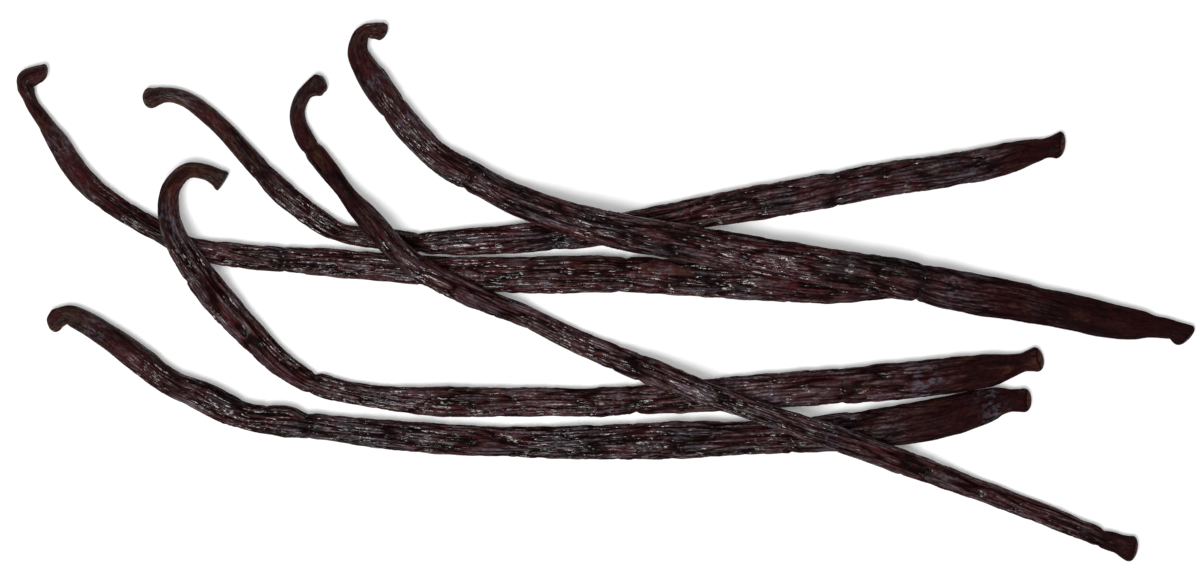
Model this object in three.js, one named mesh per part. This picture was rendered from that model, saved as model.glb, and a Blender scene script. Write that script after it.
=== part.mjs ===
// A loose bundle of six cured vanilla pods, lying flat with their hooked stem ends on the left.
// Millimetres, +Z up. The origin is on the ground, under the middle of the bundle's box.

import * as THREE from 'three';

// ---- Driving dimensions ----

const SIDES = 12;               // facets round a pod; one facet faces straight down
const BODY_STEP = 3.7;          // ring spacing along the body of a pod
const END_STEP = 1.3;           // ring spacing at the two ends, where the hook and the collar are
const END_REACH = 13;           // length of the finely stepped stretch at each end
const GAP = 0.3;                // air left where one pod lies on another
const STEM_FLATNESS = 0.88;     // thickness over width at the stem end, which stays nearly round
const BODY_FLATNESS = 0.64;     // thickness over width of the full part, flattened by curing
const FLAT_FROM = 0.05;         // share of the length where the flattening starts
const FLAT_TO = 0.6;            // share of the length where it is complete
const LIFT_HEIGHT = 4.3;        // a crossing lifts the upper pod by about this much,
const LIFT_REACH = 34;          // and the pod comes back to the ground within this length
const GROUND_SNAP = 0.12;       // an underside that is this near the ground lies flat on it
const SAG_STEP = 2.5;           // spacing of the points that the resting heights are worked out at
const SAG_ROUNDS = 6000;        // rounds of the resting calculation
const DRAPE_SHARE = 0.125;      // share of the half width between the points that feel for a pod below
const ARC_DIVISIONS = 1200;     // pieces that a middle line is measured in
const POD_COLOUR = 0x33201f;    // dark, slightly wine-tinted brown
const POD_ROUGHNESS = 0.55;

// Half-turn of one facet: with it, the lowest two corners of a section share one height.
const HALF_FACET = Math.PI / SIDES;
const UNDERSIDE = Math.cos(HALF_FACET);

// How a pod's end closes: [advance, size] of each closing ring and the advance of the last point,
// all as shares of the half width at the end.
const ROUND_END = { rings: [[0.45, 0.88], [0.8, 0.55]], point: 0.98 };
const BULGED_END = { rings: [[0.34, 0.86], [0.56, 0.55]], point: 0.68 };
const CUT_END = { rings: [[0.16, 0.9], [0.2, 0.5]], point: 0.14 };

// ---- The pods, lowest first ----
// route   points on the middle line, seen from above, from the stem end to the blossom end
// girth   [distance from the stem end, full width]
// swells  [distance, extra width, reach, side]: 1 is the left flank looking from the stem end,
//         -1 the right flank and 0 both; a negative width is a pinch

const PODS = [
  {
    name: 'pod_elbow_stem',
    route: [
      [-107, 41.1], [-109.7, 39.8], [-109.2, 36.4], [-106.1, 31.5], [-98.4, 20.4], [-92.4, 15.7],
      [-85.9, 11.8], [-79.4, 8.4], [-71.4, 6.8], [-48.8, 4.9], [-37.8, 4], [-18.8, 2.9], [4.4, 2.9],
      [26.8, 1.4], [45.6, 0.3], [57, 0.1],
    ],
    girth: [
      [0, 2.9], [2.6, 3.9], [6.4, 2.7], [10.8, 2.9], [18, 4.2], [25, 4.6], [33, 4.2], [49, 4.2],
      [57, 4.8], [75, 5.4], [94, 5.8], [109, 6.9], [123, 7.4], [147, 6.8], [169, 6.3], [181, 4.3],
      [185.5, 3.6],
    ],
    swells: [
      [3.4, 0.8, 1.3, -1], [15.5, 0.5, 2, 1], [67.5, -0.3, 2, 0], [75, 0.5, 2, 1],
      [132, -0.4, 2.5, 0],
    ],
    stemEnd: ROUND_END,
    tipEnd: CUT_END,
  },
  {
    name: 'pod_blunt_stem',
    route: [
      [-86, 36.4], [-82.8, 37.1], [-79.2, 36.1], [-73.2, 31.4], [-67.9, 25.7], [-62.8, 20.1],
      [-54.2, 13.2], [-49, 10.6], [-44.4, 10], [-35.8, 9.1], [-25.3, 9.2], [-12.5, 10.1],
      [-0.8, 11.2], [19.2, 14.8], [43.3, 19.1], [50.9, 20.6], [65.9, 22.9], [73.2, 24.1],
      [80.8, 26.2], [86.4, 27.5],
    ],
    girth: [
      [0, 3.4], [4, 2.9], [11, 3.4], [19, 3.7], [30, 4.3], [41, 4.4], [46, 3.6], [51, 4.2],
      [62, 4.5], [73, 5.5], [112, 6.1], [129, 6.8], [160, 6.6], [174, 6.1], [181.6, 4.2],
      [185, 4.9],
    ],
    swells: [
      [0.5, 0.5, 1.2, 1], [26.8, -0.3, 1.5, -1], [30.4, 0.4, 1.6, 0], [60.8, -0.7, 2.5, 1],
      [86, -0.35, 1.8, 0], [141, -0.25, 2, 1],
    ],
    stemEnd: ROUND_END,
    tipEnd: CUT_END,
  },
  {
    name: 'pod_front',
    route: [
      [-104.4, -5.9], [-102.2, -4.8], [-98.3, -6.3], [-88.8, -12.7], [-83, -17.2], [-75.8, -20.5],
      [-69, -23.6], [-61.4, -25], [-54, -26], [-27.4, -28.5], [-1, -28.9], [14.4, -28.5],
      [37.2, -27.6], [52.6, -26.1], [63.8, -24.4], [71.4, -22.5], [75.6, -21.2], [79.9, -21],
    ],
    girth: [
      [0, 3.3], [4, 4.3], [11, 4.8], [19, 5.4], [27, 5.1], [36, 6], [42, 5.4], [49, 6], [55, 5],
      [68, 5.8], [95, 6.1], [125, 7.4], [139, 6.5], [155, 7.4], [172, 7.9], [181.5, 6.9],
      [185.8, 5.6], [188.4, 4.5], [190.6, 4.7],
    ],
    swells: [[49.5, 0.7, 2.2, 1], [22, 0.3, 2, -1], [116, 0.25, 2, -1], [146, -0.3, 2.5, 1]],
    stemEnd: ROUND_END,
    tipEnd: BULGED_END,
  },
  {
    name: 'pod_curled_stem',
    route: [
      [-72.6, 20.8], [-75.3, 22.3], [-79, 22.6], [-81.8, 19.8], [-82.5, 16], [-81.9, 12.3],
      [-80.3, 8.6], [-76.2, 2.4], [-71.6, -3.6], [-66.4, -9.1], [-60.9, -14.4], [-54.2, -18.1],
      [-39.3, -20.7], [-16.2, -21.3], [6.5, -20.9], [29.1, -19.3], [52.4, -17.6], [63.8, -16.3],
      [75.6, -14.8], [79.5, -13.8], [82.2, -13.2],
    ],
    girth: [
      [0, 3.9], [1.2, 3.6], [3.4, 3.2], [7.4, 3.2], [14, 4], [22, 4.9], [32, 6.2], [38, 6.2],
      [48, 5.2], [59, 4.4], [75, 4.7], [83, 5.8], [105, 5.6], [120, 5.8], [139, 6.6], [162, 7.2],
      [176, 6.9], [188.5, 6.4], [191.6, 5.3], [194.8, 3.9], [197.4, 4.6],
    ],
    swells: [
      [59, -0.4, 1.6, 1], [63, 0.7, 2, 1], [113, 0.35, 2.2, -1], [120.5, -0.4, 1.8, 0],
      [160, -0.3, 2, 1],
    ],
    stemEnd: CUT_END,
    tipEnd: BULGED_END,
  },
  {
    name: 'pod_broad',
    route: [
      [-42.6, 49.3], [-45.7, 49.1], [-46.8, 45.4], [-45.2, 42], [-40.9, 35.7], [-36.1, 29.8],
      [-30.5, 24.5], [-23.9, 20.9], [-17.1, 17.4], [-2.7, 12.4], [18.2, 8.4], [45.6, 3.8],
      [60.8, 1.2], [68.2, -0.4], [79.6, -2.4], [90.6, -4.6], [98.1, -6.2], [105.6, -7.1],
      [107.9, -7.5], [110.4, -8.6],
    ],
    girth: [
      [0, 3.1], [2.6, 2.9], [6.3, 3.9], [14, 5.6], [22, 5.6], [33, 5.5], [39, 5.9], [45, 5.6],
      [67, 6.9], [109, 7.5], [132, 8], [144, 7.9], [152, 7.2], [163, 7.1], [169.5, 6],
      [174, 4.2], [179.6, 4.2],
    ],
    swells: [
      [14, 0.5, 1.8, 1], [20, -0.25, 2, -1], [37, 0.6, 2, 1], [49, 0.5, 4, -1],
      [128, -0.45, 1.8, 0],
    ],
    stemEnd: ROUND_END,
    tipEnd: CUT_END,
  },
  {
    name: 'pod_thin',
    route: [
      [-54.3, 38.9], [-57, 37.2], [-58.3, 33.8], [-57.5, 30.1], [-50.9, 20.9], [-46, 14.8],
      [-41, 9.2], [-35.4, 4.4], [-25.3, -0.9], [-14.4, -5.2], [-7.6, -8.6], [6.3, -14.5],
      [27.9, -22.6], [45.8, -28.6], [56.4, -32.5], [77.9, -40.5], [92, -46], [100.2, -49.2],
    ],
    girth: [
      [0, 3.5], [4, 3], [8, 3.1], [13, 3.8], [19, 4], [23, 3.4], [30, 4.3], [50, 4.7], [70, 4.3],
      [91, 5.1], [117, 4.3], [135, 5], [152, 4.5], [171, 4], [186, 4.1], [191, 4.6],
    ],
    swells: [
      [14.5, -0.4, 1.8, 1], [18.5, 0.5, 1.8, 1], [33.5, 1.2, 2.6, 1], [91.5, 0.3, 2, -1],
      [144.5, 0.3, 2, 0], [175, 0.25, 2, 1], [185, -0.5, 2, 1],
    ],
    stemEnd: ROUND_END,
    tipEnd: CUT_END,
  },
];

// ---- Shape of one pod ----

/** Value at a position, on the smooth line through [position, value] stations. */
function valueAlong(stations, position) {
  const last = stations.length - 1;
  const at = THREE.MathUtils.clamp(position, stations[0][0], stations[last][0]);
  const next = Math.max(stations.findIndex((station) => station[0] >= at), 1);
  const slope = (index) => {
    const before = stations[Math.max(index - 1, 0)];
    const after = stations[Math.min(index + 1, last)];
    return (after[1] - before[1]) / (after[0] - before[0]);
  };
  const [start, startValue] = stations[next - 1];
  const [end, endValue] = stations[next];
  const span = end - start;
  const t = (at - start) / span;
  const rise = 3 * t ** 2 - 2 * t ** 3;
  const bend = (t ** 3 - 2 * t ** 2 + t) * slope(next - 1) + (t ** 3 - t ** 2) * slope(next);
  return startValue + (endValue - startValue) * rise + bend * span;
}

/** Thickness over width at a share of the pod's length. */
function flatness(share) {
  const flattened = THREE.MathUtils.smoothstep(share, FLAT_FROM, FLAT_TO);
  return THREE.MathUtils.lerp(STEM_FLATNESS, BODY_FLATNESS, flattened);
}

/** Half width on one flank, with the swells and pinches that reach it. */
function flankWidth(pod, position, side) {
  const swell = pod.swells
    .filter(([, , , swellSide]) => swellSide === 0 || swellSide === side)
    .reduce((sum, [at, extra, reach]) => sum + extra * Math.exp(-(((position - at) / reach) ** 2)), 0);
  return (valueAlong(pod.girth, position) + swell) / 2;
}

/** Everything about the pod's section at a distance from the stem end, but its height. */
function sectionAt(pod, position) {
  const share = THREE.MathUtils.clamp(position / pod.length, 0, 1);
  const centre = pod.curve.getPointAt(share);
  const along = pod.curve.getTangentAt(share);
  const left = flankWidth(pod, position, 1);
  const right = flankWidth(pod, position, -1);
  return {
    centre,
    along,
    across: new THREE.Vector3(-along.y, along.x, 0),
    left,
    right,
    halfThickness: ((left + right) / 2) * flatness(share),
  };
}

/** The pod with its middle line as a smooth curve in plan. */
function layOut(spec) {
  const points = spec.route.map(([x, y]) => new THREE.Vector3(x, y, 0));
  const curve = new THREE.CatmullRomCurve3(points, false, 'centripetal');
  curve.arcLengthDivisions = ARC_DIVISIONS;
  return { ...spec, curve, length: curve.getLength() };
}

// ---- How the pods rest on the ground and on each other ----

/** Height of a resting pod's upper surface over a point in plan, or -Infinity beside the pod. */
function topOver(pod, x, y) {
  let nearest = null;
  let nearestDistance = Infinity;
  for (const section of pod.sections) {
    const distance = Math.hypot(x - section.centre.x, y - section.centre.y);
    if (distance < nearestDistance) {
      nearest = section;
      nearestDistance = distance;
    }
  }
  const offset = (x - nearest.centre.x) * nearest.across.x + (y - nearest.centre.y) * nearest.across.y;
  const beyond = (x - nearest.centre.x) * nearest.along.x + (y - nearest.centre.y) * nearest.along.y;
  const share = offset / (offset > 0 ? nearest.left : nearest.right);
  if (Math.abs(share) >= 1 || Math.abs(beyond) > SAG_STEP) {
    return -Infinity;
  }
  return nearest.height + nearest.halfThickness * Math.sqrt(1 - share ** 2);
}

/** Lowest height that the middle line may have at a section, over the ground and the pods below. */
function lowestHeight(section, podsBelow) {
  let height = section.halfThickness * UNDERSIDE;
  for (let share = -1; share <= 1; share += DRAPE_SHARE) {
    const reach = share * (share > 0 ? section.left : section.right);
    const x = section.centre.x + section.across.x * reach;
    const y = section.centre.y + section.across.y * reach;
    const halfThickness = section.halfThickness * Math.sqrt(1 - share ** 2);
    for (const pod of podsBelow) {
      height = Math.max(height, topOver(pod, x, y) + GAP + halfThickness);
    }
  }
  return height;
}

/**
 * Heights of an elastic strip of even weight that lies on the given lowest heights. Each point
 * in turn moves to where the bending of its neighbours balances its weight, but never lower.
 * A strip lifted at one point by a height comes down at the fourth root of 72 times that height
 * times its stiffness over its weight, which gives the stiffness for unit weight.
 */
function sag(lowest, step) {
  const stiffness = LIFT_REACH ** 4 / (72 * LIFT_HEIGHT);
  const weight = step ** 4 / stiffness;
  const heights = [...lowest];
  const last = heights.length - 1;
  for (let round = 0; round < SAG_ROUNDS; round += 1) {
    for (let i = 0; i <= last; i += 1) {
      let pull = -weight;
      let hold = 0;
      for (let middle = Math.max(i - 1, 1); middle <= Math.min(i + 1, last - 1); middle += 1) {
        const own = middle === i ? -2 : 1;
        const bend = heights[middle - 1] - 2 * heights[middle] + heights[middle + 1];
        pull -= own * (bend - own * heights[i]);
        hold += own ** 2;
      }
      heights[i] = Math.max(lowest[i], pull / hold);
    }
  }
  return heights;
}

/** Lets a pod down onto the ground and the pods below it. */
function rest(pod, podsBelow) {
  const steps = Math.round(pod.length / SAG_STEP);
  const step = pod.length / steps;
  pod.sections = Array.from({ length: steps + 1 }, (_, i) => sectionAt(pod, i * step));
  const lowest = pod.sections.map((section) => lowestHeight(section, podsBelow));
  const heights = sag(lowest, step);
  pod.heights = heights.map((height, i) => [i * step, height]);
  pod.sections.forEach((section, i) => {
    section.height = heights[i];
  });
}

// ---- Mesh of one pod ----

/** Distances of the rings from the stem end: fine steps at both ends, coarser between them. */
function ringPositions(length) {
  const endSteps = Math.round(END_REACH / END_STEP);
  const bodyLength = length - 2 * END_REACH;
  const bodySteps = Math.round(bodyLength / BODY_STEP);
  const start = Array.from({ length: endSteps }, (_, i) => (i * END_REACH) / endSteps);
  const body = Array.from({ length: bodySteps }, (_, i) => END_REACH + (i * bodyLength) / bodySteps);
  const end = [...start, END_REACH].reverse().map((distance) => length - distance);
  return [...start, ...body, ...end];
}

/** One ring of corners; size shrinks it and advance shifts it along the pod. */
function ringCorners(pod, position, advance, size) {
  const section = sectionAt(pod, position);
  const height = valueAlong(pod.heights, position);
  return Array.from({ length: SIDES }, (_, corner) => {
    const angle = 2 * Math.PI * (corner / SIDES) + HALF_FACET - Math.PI / 2;
    const flank = Math.cos(angle) > 0 ? section.left : section.right;
    const point = section.centre.clone();
    point.addScaledVector(section.along, advance);
    point.addScaledVector(section.across, Math.cos(angle) * flank * size);
    const z = height + Math.sin(angle) * section.halfThickness * size;
    point.z = z < GROUND_SNAP ? 0 : z;
    return point;
  });
}

/** Rings and last point that close one end; outward is 1 at the blossom end, -1 at the stem end. */
function closeEnd(pod, position, style, outward) {
  const section = sectionAt(pod, position);
  const half = (section.left + section.right) / 2;
  const rings = style.rings.map(([advance, size]) => (
    ringCorners(pod, position, outward * advance * half, size)
  ));
  const point = section.centre.clone().addScaledVector(section.along, outward * style.point * half);
  point.z = valueAlong(pod.heights, position);
  return { rings, point };
}

function podMesh(pod) {
  const stem = closeEnd(pod, 0, pod.stemEnd, -1);
  const tip = closeEnd(pod, pod.length, pod.tipEnd, 1);
  const body = ringPositions(pod.length).map((position) => ringCorners(pod, position, 0, 1));
  const rings = [...stem.rings.reverse(), ...body, ...tip.rings];
  const corners = [...rings.flat(), stem.point, tip.point];
  const stemPoint = corners.length - 2;
  const tipPoint = corners.length - 1;
  const lastRing = (rings.length - 1) * SIDES;
  const triangles = [];
  for (let corner = 0; corner < SIDES; corner += 1) {
    const next = (corner + 1) % SIDES;
    triangles.push(stemPoint, next, corner);
    triangles.push(tipPoint, lastRing + corner, lastRing + next);
    for (let ring = 0; ring < lastRing; ring += SIDES) {
      triangles.push(ring + corner, ring + next, ring + SIDES + corner);
      triangles.push(ring + next, ring + SIDES + next, ring + SIDES + corner);
    }
  }
  const geometry = new THREE.BufferGeometry().setFromPoints(corners);
  geometry.setIndex(triangles);
  geometry.computeVertexNormals();
  const material = new THREE.MeshStandardMaterial({
    color: POD_COLOUR,
    roughness: POD_ROUGHNESS,
    metalness: 0,
  });
  const mesh = new THREE.Mesh(geometry, material);
  mesh.name = pod.name;
  return mesh;
}

// ---- The bundle ----

const bundle = new THREE.Group();
const laid = [];
for (const spec of PODS) {
  const pod = layOut(spec);
  rest(pod, laid);
  bundle.add(podMesh(pod));
  laid.push(pod);
}

const middle = new THREE.Box3().setFromObject(bundle).getCenter(new THREE.Vector3());
bundle.position.set(-middle.x, -middle.y, 0);

export default bundle;
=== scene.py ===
"""A loose bundle of cured vanilla pods: dark, leathery and wrinkled lengthwise, with hooked stems.

The frame's faceted pods give each pod its middle line, widths and heights. A geometry-node tree
draws the true skin along that line and gives it its wrinkles, hollows, folds and knobby ends.
"""

import math

import bmesh
import bpy
import numpy as np
from bpy.props import FloatProperty, FloatVectorProperty, IntProperty, PointerProperty
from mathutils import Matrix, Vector


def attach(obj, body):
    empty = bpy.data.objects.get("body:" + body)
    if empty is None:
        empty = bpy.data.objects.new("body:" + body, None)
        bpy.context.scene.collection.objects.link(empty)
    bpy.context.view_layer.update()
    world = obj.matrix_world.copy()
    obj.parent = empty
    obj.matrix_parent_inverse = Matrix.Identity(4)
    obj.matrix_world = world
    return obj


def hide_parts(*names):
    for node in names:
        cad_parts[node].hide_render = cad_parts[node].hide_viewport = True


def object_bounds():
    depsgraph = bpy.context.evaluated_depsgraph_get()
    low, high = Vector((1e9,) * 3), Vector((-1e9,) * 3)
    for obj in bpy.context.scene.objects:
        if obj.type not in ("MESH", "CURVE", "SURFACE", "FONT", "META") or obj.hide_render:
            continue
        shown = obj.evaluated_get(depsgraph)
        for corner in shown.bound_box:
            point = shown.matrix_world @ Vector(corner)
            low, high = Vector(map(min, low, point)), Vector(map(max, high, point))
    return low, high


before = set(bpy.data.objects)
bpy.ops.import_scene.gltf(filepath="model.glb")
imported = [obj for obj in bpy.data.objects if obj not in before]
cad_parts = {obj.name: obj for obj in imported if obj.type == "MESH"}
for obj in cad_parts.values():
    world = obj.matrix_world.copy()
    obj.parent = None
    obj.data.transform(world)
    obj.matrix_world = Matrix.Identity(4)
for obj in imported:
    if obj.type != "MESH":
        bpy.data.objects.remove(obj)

bl_info = {
    "name": "Vanilla pod bundle",
    "version": (1, 0, 0),
    "blender": (4, 5, 0),
    "location": "3D View > Sidebar > Vanilla pods",
    "description": "Builds wrinkled vanilla pods around a packed frame, and a plain studio stage",
    "category": "Add Mesh",
}

MM = 0.001
CAD_BOX = [list(corner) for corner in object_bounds()]

# ---- Reading the frame's pods ----
RING_CORNERS = 12           # corners round each frame pod
CLOSING_RINGS = 2           # rings at each end that only close it
MERGE_DISTANCE = 1e-6
FAR = 10.0                  # well past anything in the scene

# ---- Guide lines ----
STATION_STEP = 0.34 * MM    # spacing of the stations that the skin is drawn through
END_STATIONS = 14           # stations that close each end
FOLD_REACH = 0.55 * MM      # half the width of a cross fold
FOLD_SHADE = 2.4 * MM       # how far the painted shade reaches on each side of a cross fold
FULL_FOLD = 0.25            # depth of a cross fold, in mm, that gets the full painted shade

# ---- Necks ----
COLLAR_REACH = 0.9          # length of the swelling at an end, in mm
NECK_PLACE = 2.6            # distance of the neck's narrowest place from the end, in mm
NECK_REACH = 1.1            # half the length of the neck, in mm
NECK_SHARE = 0.7            # how far the neck narrows, as a share of the swelling

# ---- Camera ----
SENSOR = 36.0               # sensor width, in mm
VIEW_SHARE = 1.0207         # width of the view, as a share of the bundle's
VIEW_OFFSET = (-0.5 * MM, -0.05 * MM)
LEVEL_SHARE = 0.25          # height at which the view has that width, as a share of the bundle's

# ---- Lights ----
KEY_PLACE = (-0.2, -0.3, 0.95)
KEY_SIZE = 0.4
FILL_PLACE = (0.05, 0.0, 1.35)
FILL_SIZE = 1.7

# ---- The pods ----
# seed            place in the noise patterns, so that no two pods are alike
# girth           distance round the pod that its wrinkles are laid out on, in mm
# stem, tip       how each end closes: "round", "bulged" or "cut"
# stem_slant      how far the end leans forward on its left flank, as a share of the half width
# tip_slant       the same for the blossom end
# tip_tilt        how far the top of the blossom end leans back, as a share of the half height
# knob            how lumpy the stem end is, in mm
# stem_flare      how far the stem end swells over its neck, as a share of its width
# tip_flare       the same for the blossom end
# smooth_stem     length of the smoother stretch at the stem end, in mm
# smooth_tip      length of the smoother, darker stretch at the blossom end, in mm
# tone            how much grey film and painted sheen the ridges carry: 0 is the darkest pod, 1 the greyest and driest
# redness         how much of the wine-red and brown skin shows, from 0 to 1
# stem_tone       how much of the paler stem skin shows, from 0 to 1
# folds           cross folds: distance from the stem end in mm, and depth in mm; the skin round each is painted darker as its shade
# frost           pale patches, some of them painted glints: distance from the stem end (or,
#                 if negative, from the blossom end) and reach, in mm
# bulges          distance from the blossom end and reach in mm, and how far the left and the
#                 right flank stand out there, in mm
PODS = {
    "pod_elbow_stem": {
        "seed": 3.0, "girth": 15.5,
        "stem": "round", "tip": "cut", "stem_slant": 0.5, "tip_slant": 0.0,
        "tip_tilt": 0.3, "knob": 0.3, "stem_flare": 0.12, "tip_flare": 0.1,
        "smooth_stem": 40.0, "smooth_tip": 10.0, "tone": 0.45, "redness": 0.45, "stem_tone": 0.75,
        "folds": [(4.2, 0.25), (67.5, 0.2), (132.0, 0.2)],
        "frost_and_sheen": [(17.0, 3.5), (-30.0, 3.0)], "bulges": [],
    },
    "pod_blunt_stem": {
        "seed": 11.0, "girth": 16.0,
        "stem": "round", "tip": "bulged", "stem_slant": 0.0, "tip_slant": 0.3,
        "tip_tilt": 0.4, "knob": 0.3, "stem_flare": 0.08, "tip_flare": 0.1,
        "smooth_stem": 42.0, "smooth_tip": 16.0, "tone": 0.6, "redness": 0.4, "stem_tone": 0.8,
        "folds": [(27.0, 0.2), (60.8, 0.25), (86.0, 0.3), (141.0, 0.2)],
        "frost_and_sheen": [(6.0, 3.5), (-16.0, 3.0)], "bulges": [],
    },
    "pod_front": {
        "seed": 23.0, "girth": 17.0,
        "stem": "round", "tip": "bulged", "stem_slant": 0.25, "tip_slant": 0.0,
        "tip_tilt": 0.4, "knob": 0.5, "stem_flare": 0.12, "tip_flare": 0.03,
        "smooth_stem": 36.0, "smooth_tip": 38.0, "tone": 0.95, "redness": 0.1, "stem_tone": 0.7,
        "folds": [(46.0, 0.3), (54.0, 0.25), (116.0, 0.15), (146.0, 0.2)],
        "frost_and_sheen": [(8.0, 2.5), (-6.5, 2.2), (-36.0, 4.0)], "bulges": [(11.0, 7.0, 0.28, 0.0)],
    },
    "pod_curled_stem": {
        "seed": 37.0, "girth": 16.0,
        "stem": "cut", "tip": "bulged", "stem_slant": 0.0, "tip_slant": 0.0,
        "tip_tilt": 0.45, "knob": 0.15, "stem_flare": 0.1, "tip_flare": 0.07,
        "smooth_stem": 26.0, "smooth_tip": 28.0, "tone": 1.0, "redness": 0.6, "stem_tone": 1.0,
        "folds": [(59.5, 0.35), (113.0, 0.15), (120.5, 0.3), (160.0, 0.2)],
        "frost_and_sheen": [(18.5, 3.5), (-22.0, 3.0)], "bulges": [(19.0, 9.0, 0.0, 0.36)],
    },
    "pod_broad": {
        "seed": 53.0, "girth": 22.0,
        "stem": "round", "tip": "bulged", "stem_slant": 0.2, "tip_slant": 0.3,
        "tip_tilt": 0.1, "knob": 0.5, "stem_flare": 0.12, "tip_flare": 0.12,
        "smooth_stem": 34.0, "smooth_tip": 52.0, "tone": 0.6, "redness": 0.25, "stem_tone": 0.7,
        "folds": [(20.0, 0.15), (39.5, 0.25), (128.0, 0.35)],
        "frost_and_sheen": [(14.5, 1.8), (23.5, 3.5), (-45.0, 3.0)], "bulges": [],
    },
    "pod_thin": {
        "seed": 71.0, "girth": 13.5,
        "stem": "round", "tip": "bulged", "stem_slant": 0.1, "tip_slant": -0.12,
        "tip_tilt": 0.2, "knob": 0.5, "stem_flare": 0.16, "tip_flare": 0.12,
        "smooth_stem": 44.0, "smooth_tip": 10.0, "tone": 1.0, "redness": 0.45, "stem_tone": 0.05,
        "folds": [(14.5, 0.2), (91.5, 0.2), (144.5, 0.15), (185.0, 0.2)],
        "frost_and_sheen": [(5.5, 1.8), (-74.0, 3.0)], "bulges": [],
    },
}


# ---- Settings ----


def length_setting(name, description, default):
    return FloatProperty(name=name, description=description, default=default, unit="LENGTH")


def colour_setting(name, description, *default):
    return FloatVectorProperty(
        name=name, description=description, subtype="COLOR", size=4, default=(*default, 1.0),
        min=0, max=1,
    )


class PodSkinSettings(bpy.types.PropertyGroup):
    """Sizes and colours of the pods' skin."""

    around: IntProperty(
        name="Points around", description="Points round each pod's skin", default=140, min=24
    )
    furrow_spacing: length_setting(
        "Furrow spacing", "Distance between the straighter furrows", 0.64 * MM
    )
    wrinkle_spacing: length_setting(
        "Wrinkle spacing", "Distance between the main lengthwise wrinkles", 0.66 * MM
    )
    wrinkle_length: length_setting(
        "Wrinkle length", "Length over which a wrinkle keeps its course", 12.0 * MM
    )
    wrinkle_depth: length_setting("Wrinkle depth", "Depth of the main wrinkles", 0.3 * MM)
    furrow_depth: length_setting("Furrow depth", "Depth of the straighter furrows", 0.26 * MM)
    fine_depth: length_setting(
        "Fine wrinkle depth", "Depth of the fine wrinkles between the main ones", 0.09 * MM
    )
    hollow_depth: length_setting("Hollow depth", "Depth of the broad hollows", 0.26 * MM)
    fold_depth: length_setting("Small fold depth", "Depth of the scattered cross folds", 0.1 * MM)
    dark: colour_setting("Dark skin", "Colour of the smooth, oily skin", 0.0095, 0.0027, 0.0033)
    # painted shade: darkens the creases, the skin round the cross folds and small pits as their
    # shade, and also stretches of skin, the stem and the cut faces' rims as their own darker colour
    shade_and_dark_skin: colour_setting("Creases", "Colour down in the creases", 0.004, 0.0012, 0.0014)
    wine: colour_setting("Wine skin", "Colour of the wine-tinted skin", 0.06, 0.012, 0.0145)
    brown: colour_setting("Brown patches", "Colour of the dry brown patches", 0.074, 0.027, 0.0145)
    stem: colour_setting(
        "Stem skin", "Colour of the paler skin near the stem end", 0.022, 0.007, 0.006
    )
    maroon: colour_setting(
        "Red patches", "Colour of the small deep red patches", 0.028, 0.0042, 0.0052
    )
    # partly a real grey bloom, partly painted glints on the ridge tops
    bloom_and_glint: colour_setting("Grey bloom", "Colour of the dull film on the ridges", 0.2, 0.136, 0.152)
    # pale, cool patches; laid as a haze on the raised skin it is partly painted sheen, and some of
    # the patches are painted glints
    frost_and_sheen: colour_setting("Pale patches", "Colour of the pale, cool patches", 0.1, 0.092, 0.115)
    olive: colour_setting("Olive stem", "Colour of the dried stem ends", 0.07, 0.052, 0.036)
    scar: colour_setting("End scar", "Colour of the cut faces at the ends", 0.075, 0.026, 0.02)


class StageSettings(bpy.types.PropertyGroup):
    """The floor, the lights and the camera."""

    floor_colour: colour_setting("Floor", "Colour of the floor", 0.96, 0.96, 0.96)
    floor_glow: FloatProperty(
        name="Floor glow", description="Light that the floor gives off, as a light table does",
        default=0.15, min=0,
    )
    floor_side: length_setting("Floor side", "Side of the square floor", 3.0)
    camera_height: length_setting("Camera height", "Height of the camera over the pods", 0.8)
    key_power: FloatProperty(
        name="Key light", description="Power of the main light", default=7.4, unit="POWER"
    )
    fill_power: FloatProperty(
        name="Fill light", description="Power of the broad light overhead", default=12.0,
        unit="POWER",
    )
    sky: FloatProperty(
        name="Sky", description="Brightness of the even light all round", default=0.08, min=0
    )


# ---- Short ways to fill a node tree ----


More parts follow.
